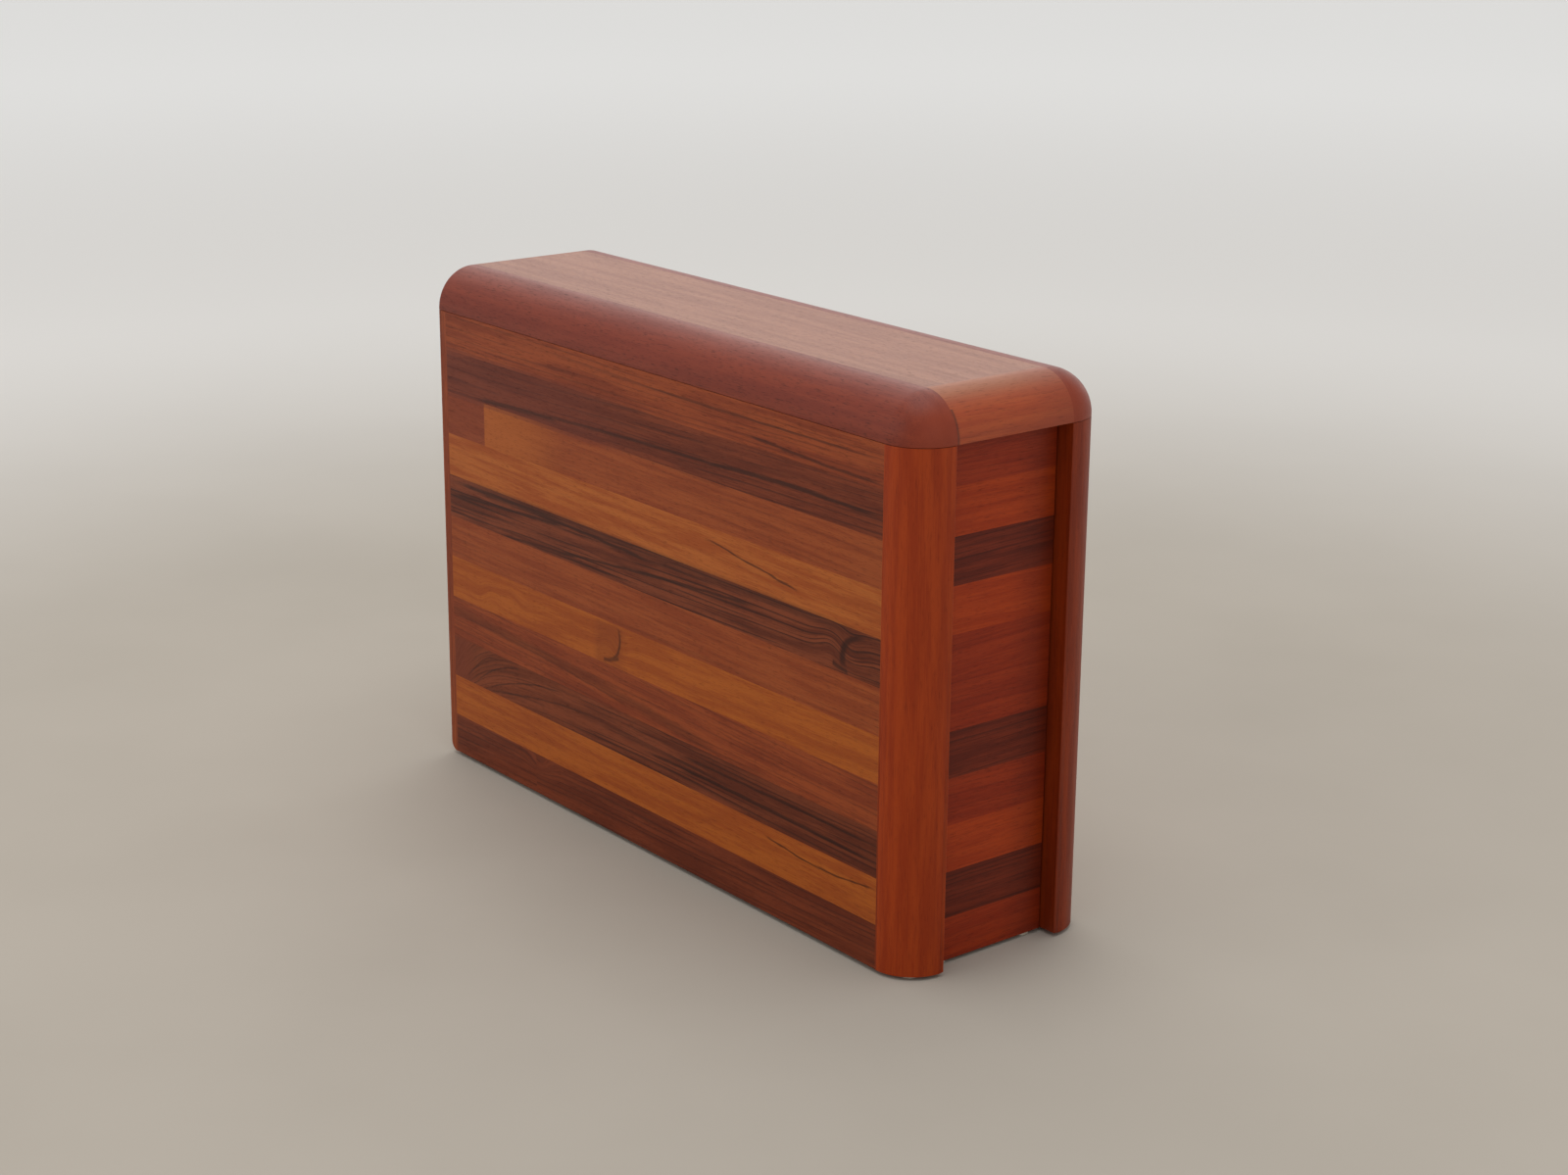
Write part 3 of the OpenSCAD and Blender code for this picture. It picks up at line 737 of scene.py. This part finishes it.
# %% [markdown]
# ## Long rails that end in a ball
# The rails along the top turn the corner at the grip end, so the quarter round goes round the
# corner too and closes in an eighth of a ball. A lathe or a sweep would leave a seam there.
# Level slices avoid it: at each height the outline keeps its flat back, steps in at the front and
# shrinks its corner arc round one fixed centre. Skinned together, the slices are the exact shape.
# At the flat left end the arris is rounded by 2.8 mm. Each slice ends there in a small arc that sinks
# into the wood square to the surface, so the rounding follows the quarter round as well.

# %% Slices of a long rail
ARC_STEPS, ARRIS_STEPS = 36, 6


def quarter(steps):
    """Angles from 0 to a right angle."""
    return [math.pi / 2 * n / steps for n in range(steps + 1)]


def rail_slice(lean):
    """Outline of the front rail where its surface leans back by an angle."""
    radius = edge_r * math.cos(lean)
    y, z = y_round - radius, z_top + TOP_SQUARE + edge_r * math.sin(lean)
    arris = []
    for turn in reversed(quarter(ARRIS_STEPS)):
        sunk = END_EASE * (1 - math.cos(turn))
        x = x_left + END_EASE * (1 - math.sin(turn))
        arris.append((x, y + sunk * math.cos(lean), z - sunk * math.sin(lean)))
    corner = [
        (x_round + radius * math.sin(turn), y_round - radius * math.cos(turn), z)
        for turn in quarter(ARC_STEPS)
    ]
    return [(x_left, y_door, arris[0][2]), *arris, *corner, (x_round + radius, y_door, z)]


# %% Long rails
def skinned(mesh, slices):
    """Joins outlines from the bottom up, closes the bottom, and returns the top outline."""
    rings = [[mesh.verts.new(spot) for spot in outline] for outline in slices]
    for lower, upper in zip(rings, rings[1:]):
        for n in range(len(lower)):
            after = (n + 1) % len(lower)
            mesh.faces.new((lower[n], lower[after], upper[after], upper[n]))
    mesh.faces.new(rings[0][::-1])
    return rings[-1]


def long_rail(side):
    mesh = bmesh.new()
    slices = [rail_slice(lean) for lean in quarter(ARC_STEPS)]
    slices.insert(0, [(x, y, z_top) for x, y, _ in slices[0]])
    last = skinned(mesh, slices)
    arris = last[1:ARRIS_STEPS + 2]
    back = [last[0]] + [mesh.verts.new((v.co.x, y_door, v.co.z)) for v in arris[1:]]
    for n in range(ARRIS_STEPS):
        mesh.faces.new((arris[n], arris[n + 1], back[n + 1], back[n]))
    mesh.faces.new((arris[-1], last[ARRIS_STEPS + 2], last[-1], back[-1]))
    mesh.faces.new(back + [last[-1]])
    bmesh.ops.remove_doubles(mesh, verts=mesh.verts, dist=MM / 100)
    bmesh.ops.dissolve_degenerate(mesh, edges=mesh.edges, dist=MM / 100)
    bmesh.ops.recalc_face_normals(mesh, faces=mesh.faces)
    ease(mesh, lambda a, b: on(a, b, z=z_top) and not on(a, b, y=y_door), SEAM)
    mirrored(mesh, side)
    name = f"top_{side}_rail"
    return shown(f"{name}_rounded", mesh, rail_wood, "carcass", "teak_top", name)


for side in SIDES:
    rail = long_rail(side)
    print(rail.name, len(rail.data.vertices), "points")

# %% [markdown]
# ## Top board and end rail
# The board between the rails is flush with them on every side but the left end, where its edge
# lies open. The end rail has the same round, with its grain from front to back, so the joint
# between them shows as a change of colour and not as a line.


# %% Top board
def top_board():
    mesh = bmesh.new()
    block(mesh, board_low, board_high)
    ease(mesh, lambda a, b: on(a, b, x=x_left, z=z_crown), END_EASE, ARRIS_STEPS)
    return shown("top_board_eased", mesh, board_wood, "carcass", "teak_top", "top_board")


board = top_board()
print(board.name, len(board.data.vertices), "points")


# %% End rail
def extruded(mesh, outline, start, end):
    """A solid between two copies of one outline, moved by the two vectors."""
    first = [mesh.verts.new(Vector(spot) + Vector(start)) for spot in outline]
    second = [mesh.verts.new(Vector(spot) + Vector(end)) for spot in outline]
    mesh.faces.new(first[::-1])
    mesh.faces.new(second)
    for n in range(len(outline)):
        after = (n + 1) % len(outline)
        mesh.faces.new((first[n], first[after], second[after], second[n]))


def end_rail():
    mesh = bmesh.new()
    z_round = z_top + TOP_SQUARE
    round_edge = [
        (x_round + edge_r * math.cos(turn), 0, z_round + edge_r * math.sin(turn))
        for turn in quarter(ARC_STEPS)
    ]
    outline = [(x_post, 0, z_top), (x_right, 0, z_top), *round_edge, (x_post, 0, z_crown)]
    extruded(mesh, outline, (0, y_door, 0), (0, -y_door, 0))
    ease(mesh, lambda a, b: on(a, b, x=x_right, z=z_top), SEAM)
    return shown("top_end_rail_rounded", mesh, end_rail_wood, "carcass", "teak_edge", "top_end_rail")


cross_rail = end_rail()
print(cross_rail.name, len(cross_rail.data.vertices), "points")

# %% [markdown]
# ## Posts and stiles
# A post is a quarter column with a short square back, planed from one piece. Its foot is eased,
# and so is the inner edge that the fingers pull on, while its head keeps a crisp seam. The stile at
# the other end of a door is a thin strip with the same arris as the rails, and its foot swings in
# by 8 mm in a small round toe, where doors get kicked. A bevel can't do both, because it is clamped
# by its shortest edge, so the stile is skinned from level slices too.


# %% Posts
def door_post(side):
    mesh = bmesh.new()
    column = [
        (x_round + edge_r * math.sin(turn), y_round - edge_r * math.cos(turn), 0)
        for turn in quarter(ARC_STEPS)
    ]
    outline = [(x_post, y_door, 0), (x_post, y_front, 0), *column, (x_right, y_door, 0)]
    extruded(mesh, outline, (0, 0, z_floor), (0, 0, z_head))

    def at_end(a, b, z):
        return on(a, b, z=z) and not on(a, b, x=x_post)

    def grip(a, b):
        return on(a, b, x=x_right, y=y_door)

    ease(mesh, lambda a, b: at_end(a, b, z_floor) or grip(a, b), EASE)
    ease(mesh, lambda a, b: at_end(a, b, z_head), SEAM)
    mirrored(mesh, side)
    name = f"{side}_door_post"
    wood = post_wood if side == "front" else rear_post_wood
    return shown(f"{name}_rounded", mesh, wood, f"{side}_door", "teak_edge", name)


# %% Stiles
TOE_STEPS = 8


def stile_slice(inset, z):
    """Outline of the front stile, with its rounded arris moved in from the end by the inset."""
    x_outer = x_left + inset
    arris = [
        (x_outer + END_EASE * (1 - math.cos(turn)), y_front + END_EASE * (1 - math.sin(turn)), z)
        for turn in quarter(ARRIS_STEPS)
    ]
    return [(x_outer, y_door, z), *arris, (x_stile, y_front, z), (x_stile, y_door, z)]


def door_stile(side):
    mesh = bmesh.new()
    slices = [
        stile_slice(TOE * (1 - math.sin(lean)), z_floor + TOE * (1 - math.cos(lean)))
        for lean in quarter(TOE_STEPS)
    ]
    mesh.faces.new(skinned(mesh, slices + [stile_slice(0.0, z_head)]))
    mirrored(mesh, side)
    name = f"{side}_door_stile"
    return shown(f"{name}_eased", mesh, stile_wood, f"{side}_door", "teak_edge", name)


for side in SIDES:
    for piece in (door_post(side), door_stile(side)):
        print(piece.name, len(piece.data.vertices), "points")

# %% [markdown]
# ## Staves of the doors
# The staves are glued flush and planed as one board, so no groove shows between them, only the
# change of wood. Each stave is its own piece all the same, and only the lowest and the highest
# have an open edge. Two staves of each door are made up of two lengths, butted end to end.

# %% Staves
DOOR_TONES = {
    "front": "dark amber dark red amber red dark amber amber dark red".split(),
    "rear": "red dark amber red dark red amber dark red amber red".split(),
}
BUTTS = {"front": {0: 131, 8: 59}, "rear": {3: 410, 7: 150}}


def stave_ends(number, count):
    low = z_floor if number == 0 else z_floor + (DOOR_FIRST + (number - 1) * STAVE) * MM
    high = z_head if number == count - 1 else z_floor + (DOOR_FIRST + number * STAVE) * MM
    return low, high


def door_stave(side, number, count, start, end, letter):
    low, high = stave_ends(number, count)
    mesh = bmesh.new()
    block(mesh, (start, y_front, low), (end, y_panel, high))
    ease(mesh, lambda a, b: on(a, b, y=y_front, z=z_floor), EASE)
    ease(mesh, lambda a, b: on(a, b, y=y_front, z=z_head), SEAM)
    mirrored(mesh, side)
    tone = DOOR_TONES[side][number]
    wood = front_wood if side == "front" else rear_wood
    name = f"{side}_door_stave_{number + 1:02d}{letter}"
    return shown(name, mesh, wood, f"{side}_door", f"teak_{tone}", f"{side}_door_{tone}_staves")


for side, tones in DOOR_TONES.items():
    made = []
    for number in range(len(tones)):
        cut = BUTTS[side].get(number)
        stops = [x_stile, x_post] if cut is None else [x_stile, x_stile + cut * MM, x_post]
        for part, (start, end) in enumerate(zip(stops, stops[1:])):
            letter = "" if cut is None else "ab"[part]
            made.append(door_stave(side, number, len(tones), start, end, letter))
    print(side, "door:", len(made), "lengths of wood in", len(tones), "staves")

# %% [markdown]
# ## Turned pins and rods
# A pin that carries a reel has a domed end, so that the reel slides on without catching. The
# shape is a lathe job: half an outline, spun about its middle. The screws below use it as well.


# %% Lathe
TURN_STEPS = 28
DOME_STEPS, DOME_DEEP, DOME_TIP = 5, 0.6, 0.25


def turned(mesh, half_outline, middle, axis):
    """Spins (distance along the axis, radius) points about the axis through the middle."""
    forward = {"x": Vector((1, 0, 0)), "y": Vector((0, 1, 0)), "z": Vector((0, 0, 1))}[axis]
    side = Vector((0, 0, 1)) if axis != "z" else Vector((1, 0, 0))
    other = forward.cross(side)
    rings = []
    for reach, radius in half_outline:
        turns = [2 * math.pi * n / TURN_STEPS for n in range(TURN_STEPS)]
        spot = Vector(middle) + forward * reach
        ring = [spot + (side * math.cos(t) + other * math.sin(t)) * radius for t in turns]
        rings.append([mesh.verts.new(point) for point in ring])
    for first, second in zip(rings, rings[1:]):
        for n in range(TURN_STEPS):
            after = (n + 1) % TURN_STEPS
            mesh.faces.new((first[n], second[n], second[after], first[after]))
    mesh.faces.new(rings[0])
    mesh.faces.new(rings[-1][::-1])


def domed(length, radius):
    """Half an outline of a pin with a domed end at each side."""
    dome = [
        (radius * DOME_DEEP * (1 - math.sin(t)), radius * (DOME_TIP + (1 - DOME_TIP) * math.cos(t)))
        for t in quarter(DOME_STEPS)
    ]
    near = [(-length / 2 + reach, size) for reach, size in reversed(dome)]
    return near + [(-reach, size) for reach, size in reversed(near)]


# %% Thread pins
PIN_ROWS, PIN_COLUMNS, PIN_R = 3, 9, 3 * MM


def steps_between(start, end, count):
    return [start + (end - start) * n / (count - 1) for n in range(count)]


def thread_pins():
    low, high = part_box("spool_pins")
    mesh = bmesh.new()
    for x in steps_between(low.x + PIN_R, high.x - PIN_R, PIN_COLUMNS):
        for z in steps_between(low.z + PIN_R, high.z - PIN_R, PIN_ROWS):
            turned(mesh, domed(high.y - low.y, PIN_R), (x, 0, z), "y")
    return shown("spool_pins_turned", mesh, beech_wood, "carcass", "pale_wood", "spool_pins")


pins = thread_pins()
print(PIN_ROWS * PIN_COLUMNS, "pins,", len(pins.data.vertices), "points")

# %% [markdown]
# ## Slotted screws
# Brass countersunk screws hold the hinges. A plain cone would look like a rivet, so each head gets
# its slot: the cone stops at the slot's floor, and two half-moons stand on it with the slot
# between them. No two are turned the same way, because nobody lines them up.

# %% Screws
HEAD_R, HEAD_H, SHANK_R = 2.5 * MM, 1.5 * MM, 1.3 * MM
SLOT_W, SLOT_DEEP, TIP_R = 0.7 * MM, 0.6 * MM, SHANK_R * 0.15
MOON_STEPS, FIRST_TURN, NEXT_TURN = 14, 0.3, 0.7
HINGE_SCREWS, STRIKE_SCREWS = 7, 2


def half_moon(turn):
    """Outline of one half of a head beside the slot, seen from above."""
    reach = math.acos(SLOT_W / 2 / HEAD_R)
    angles = [-reach + 2 * reach * n / MOON_STEPS for n in range(MOON_STEPS + 1)]
    return [(HEAD_R * math.cos(a + turn), HEAD_R * math.sin(a + turn)) for a in angles]


def slotted_screw(mesh, head, inward, length, turn):
    """A screw whose head is flush at a point and which points inward along Y or Z."""
    axis = "y" if abs(inward.y) > 0.5 else "z"
    sign = inward.y + inward.z
    floor_r = HEAD_R - (HEAD_R - SHANK_R) * SLOT_DEEP / HEAD_H
    outline = [
        (SLOT_DEEP, floor_r), (HEAD_H, SHANK_R), (length - HEAD_H, SHANK_R), (length, TIP_R),
    ]
    turned(mesh, [(sign * reach, radius) for reach, radius in outline], head, axis)
    right = Vector((1, 0, 0))
    up = inward.cross(right)
    for half in (turn, turn + math.pi):
        moon = [head + right * a + up * b for a, b in half_moon(half)]
        squeezed = [head + (right * a + up * b) * (floor_r / HEAD_R) for a, b in half_moon(half)]
        top = [mesh.verts.new(spot) for spot in moon]
        base = [mesh.verts.new(spot + inward * SLOT_DEEP) for spot in squeezed]
        mesh.faces.new(top)
        mesh.faces.new(base[::-1])
        for n in range(len(top)):
            after = (n + 1) % len(top)
            mesh.faces.new((top[n], base[n], base[after], top[after]))


def screws(node, body, count, run, inward):
    """Replaces a row of screws along one axis, heads flush with the plate."""
    axis = AXES[run]
    low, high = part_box(node)
    middle = (low + high) / 2
    mesh = bmesh.new()
    along = steps_between(low[axis] + HEAD_R, high[axis] - HEAD_R, count)
    for number, place in enumerate(along):
        head = middle.copy()
        head[axis] = place
        head.y = low.y if inward.y > 0 else high.y
        slotted_screw(mesh, head, inward, high.y - low.y, NEXT_TURN * number + FIRST_TURN)
    return shown(f"{node}_slotted", mesh, brass, body, "brass", node)


for side, out in (("front", -1), ("rear", 1)):
    inward, outward = Vector((0, -out, 0)), Vector((0, out, 0))
    made = [
        screws(f"{side}_hinge_frame_screws", "carcass", HINGE_SCREWS, "z", inward),
        screws(f"{side}_hinge_door_screws", f"{side}_door", HINGE_SCREWS, "z", outward),
        screws(f"{side}_strike_screws", f"{side}_door", STRIKE_SCREWS, "x", outward),
    ]
    print(side, "screws:", [piece.name for piece in made])

# %% [markdown]
# ## The parts that keep their CAD mesh
# Inside, the CAD shapes are right as they are. Each gets its finish, and where a width is given
# two modifiers finish it as well: Weld joins the points that the file format splits, and Bevel then
# eases each hard edge by a hair, which is what catches the light. The mesh underneath stays
# untouched.


# %% Finish for the remaining parts
def finish_part(name, material, width):
    part = nodes[name]
    part.data.materials.clear()
    part.data.materials.append(material)
    if width:
        weld = part.modifiers.new("join points", "WELD")
        weld.merge_threshold = MM / 100
        bevel = part.modifiers.new("ease edges", "BEVEL")
        bevel.width = width * MM
        bevel.segments = 2
        bevel.limit_method = "ANGLE"
        bevel.angle_limit = SHARP
        bevel.harden_normals = True


FINISHES = {
    "bottom_board": (inner_wood, 0.6),
    "middle_shelf": (inner_wood, 0.6),
    "lower_dividers": (upright_wood, 0.6),
    "spool_board": (thread_wood, 0),
    "top_rail_dowels": (beech_wood, 0),
    "carcass_dowels": (beech_wood, 0),
    "carcass_glides": (nylon, 0.4),
    "catch_housings": (brown_plastic, 0.4),
    "catch_magnets": (ferrite, 0.2),
    "catch_screws": (brass, 0),
}
for tone in ("red", "amber", "dark"):
    FINISHES[f"right_end_{tone}_staves"] = (right_wood, 0)
    FINISHES[f"left_end_{tone}_staves"] = (left_wood, 0)
for side in SIDES:
    FINISHES[f"{side}_door_top_rail"] = (thread_wood, 0)
    FINISHES[f"{side}_door_bottom_rail"] = (thread_wood, 0.5)
    FINISHES[f"{side}_door_ledges"] = (thread_wood, 0.5)
    FINISHES[f"{side}_door_rods"] = (beech_wood, 0)
    FINISHES[f"{side}_door_glide"] = (nylon, 0.4)
    FINISHES[f"{side}_hinge_frame_leaf"] = (brass, 0)
    FINISHES[f"{side}_hinge_door_leaf"] = (brass, 0)
    FINISHES[f"{side}_hinge_pin"] = (steel, 0)
    FINISHES[f"{side}_strike_plate"] = (steel, 0)
for name, (material, width) in FINISHES.items():
    finish_part(name, material, width)
print(len(FINISHES), "parts finished in place")

# %% [markdown]
# ## Floor and light
# Oiled wood shows its colour in soft, wide light. A large panel to the front left lights the long
# face, a second one overhead gives the top its pale sheen, and a weak third one fills in the grip
# end, which stays the darker side. The floor is plain and pale, and fades to white far away.


# %% Floor
FLOOR_HALF = 20.0
CONCRETE, CONCRETE_CLOUD = paint(178, 170, 159), paint(173, 165, 154)
FADES = [((0.7, 2.4), paint(224, 221, 217)), ((2.0, 6.0), paint(252, 251, 249))]


def plain_floor():
    graph = new_material("pale_floor")
    place = graph.add("ShaderNodeTexCoord", {}, {}, output="Object")
    x, y, _ = split(graph, place)
    cloud = noise(graph, x * 2.5, y * 2.5, 0.0, 4)
    colour = mix(graph, step(graph, cloud, 0.3, 0.75), CONCRETE, CONCRETE_CLOUD)
    far = graph.add("ShaderNodeVectorMath", {"operation": "LENGTH"}, {0: place}, output="Value")
    for metres, tone in FADES:
        colour = mix(graph, step(graph, far, *metres), colour, tone)
    graph.shader.inputs["Specular IOR Level"].default_value = 0.0
    graph.finish(base_color=colour, roughness=0.7 + cloud * 0.1)
    mesh = bmesh.new()
    bmesh.ops.create_grid(mesh, x_segments=1, y_segments=1, size=FLOOR_HALF)
    data = bpy.data.meshes.new("floor")
    mesh.to_mesh(data)
    mesh.free()
    floor = bpy.data.objects.new("floor", data)
    bpy.context.collection.objects.link(floor)
    data.materials.append(graph.owner)
    return floor


floor = plain_floor()
print("floor", FLOOR_HALF * 2, "m across")


# %% Lights
def soft_light(name, place, target, size, power, tint):
    lamp = bpy.data.lights.new(name, "AREA")
    lamp.shape, lamp.size, lamp.energy, lamp.color = "SQUARE", size, power, tint
    light = bpy.data.objects.new(name, lamp)
    bpy.context.collection.objects.link(light)
    away = Vector(place) - Vector(target)
    light.matrix_world = Matrix.Translation(place) @ away.to_track_quat("Z", "Y").to_matrix().to_4x4()


MIDDLE = (0, 0, 0.2)
soft_light("window", (-1.2, -3.4, 1.9), MIDDLE, 2.6, 22, (1.0, 0.98, 0.95))
soft_light("overhead", (0.0, 0.0, 3.2), MIDDLE, 2.4, 36, (1.0, 1.0, 1.0))
soft_light("right_fill", (3.2, -0.6, 1.5), MIDDLE, 1.8, 4, (1.0, 0.98, 0.95))


# %% Surroundings
BRIGHT_SIDE, BRIGHT_SPREAD = (-0.74, 0.60, 0.29), (0.5, 0.95)
PALE, BRIGHT = (0.58, 0.58, 0.58, 1.0), (1.5, 1.5, 1.48, 1.0)


def surroundings():
    """Pale all round, and brighter on the side that the top mirrors at a low angle."""
    graph = Graph(bpy.data.worlds.new("surroundings"))
    direction = graph.add("ShaderNodeTexCoord", {}, {}, output="Generated")
    dot = {"operation": "DOT_PRODUCT"}
    side = graph.add("ShaderNodeVectorMath", dot, {0: direction, 1: BRIGHT_SIDE}, output="Value")
    graph.finish(color=mix(graph, step(graph, side, *BRIGHT_SPREAD), PALE, BRIGHT))
    return graph.owner


bpy.context.scene.world = surroundings()
bpy.context.scene.view_settings.view_transform = "Standard"
print("three soft lights and pale surroundings")
